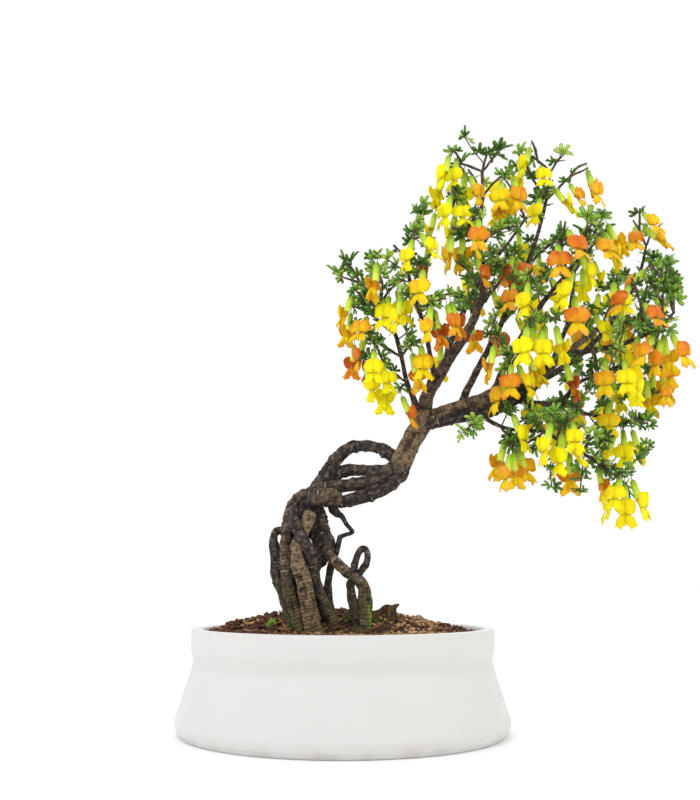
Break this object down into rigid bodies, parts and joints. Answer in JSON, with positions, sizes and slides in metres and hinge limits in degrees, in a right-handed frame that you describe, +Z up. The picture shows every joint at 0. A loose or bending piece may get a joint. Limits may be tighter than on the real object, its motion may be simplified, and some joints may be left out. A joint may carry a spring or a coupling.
{
  "type": "flowering peashrub bonsai in a pot",
  "caption": "Peashrub bonsai in bloom: braided roots and stems lean out of a low round off-white pot and carry a wide crown of thorny twigs, small leaves and hanging pea flowers.",
  "frame": {"origin": "centre of the pot's flat underside", "axes": "+Z up; the crown leans towards +X; the front of the picture is seen from -Y"},
  "size_m": [0.4114, 0.2485, 0.4653],
  "materials": {
    "pot_clay": "matte off-white, faint throwing rings",
    "soil": "rough dark soil with bark litter, grit and moss",
    "chip_bark": "rough broken bark",
    "bark": "dark grey-brown bark with cross rings and pale pores",
    "yellow_petals": "soft satin petals, fresh yellow",
    "golden_petals": "soft satin petals, golden orange",
    "rust_petals": "soft satin petals, ageing to rust red",
    "leaves": "satin dark green leaflets"
  },
  "bodies": {
    "root": {"pot": "pot_clay", "soil": "soil", "bark_chip": "chip_bark", "trunk": "bark", "blooms_01": "golden_petals", "blooms_02": "rust_petals", "blooms_03": "yellow_petals", "blooms_04": "golden_petals", "blooms_05": "yellow_petals", "blooms_06": "yellow_petals", "blooms_07": "golden_petals", "blooms_08": "rust_petals", "blooms_09": "yellow_petals", "blooms_10": "yellow_petals", "blooms_11": "golden_petals", "blooms_12": "golden_petals", "blooms_13": "yellow_petals", "blooms_14": "yellow_petals", "blooms_15": "yellow_petals", "blooms_16": "golden_petals", "blooms_17": "yellow_petals", "blooms_18": "rust_petals", "blooms_19": "yellow_petals", "blooms_20": "golden_petals", "blooms_21": "rust_petals", "blooms_22": "yellow_petals", "blooms_23": "golden_petals", "blooms_24": "yellow_petals", "blooms_25": "golden_petals", "blooms_26": "golden_petals", "blooms_27": "golden_petals", "blooms_28": "rust_petals", "blooms_29": "golden_petals", "blooms_30": "yellow_petals", "blooms_31": "golden_petals", "blooms_32": "yellow_petals", "blooms_33": "yellow_petals", "blooms_34": "rust_petals", "blooms_35": "golden_petals", "blooms_36": "yellow_petals", "leaves_01": "leaves", "leaves_02": "leaves", "leaves_03": "leaves", "leaves_04": "leaves", "leaves_05": "leaves", "leaves_06": "leaves", "leaves_07": "leaves", "leaves_08": "leaves", "leaves_09": "leaves", "leaves_10": "leaves", "leaves_11": "leaves", "leaves_12": "leaves", "leaves_13": "leaves", "leaves_14": "leaves", "leaves_15": "leaves", "leaves_16": "leaves", "leaves_17": "leaves", "leaves_18": "leaves", "leaves_19": "leaves", "leaves_20": "leaves"}
  },
  "joints": []
}
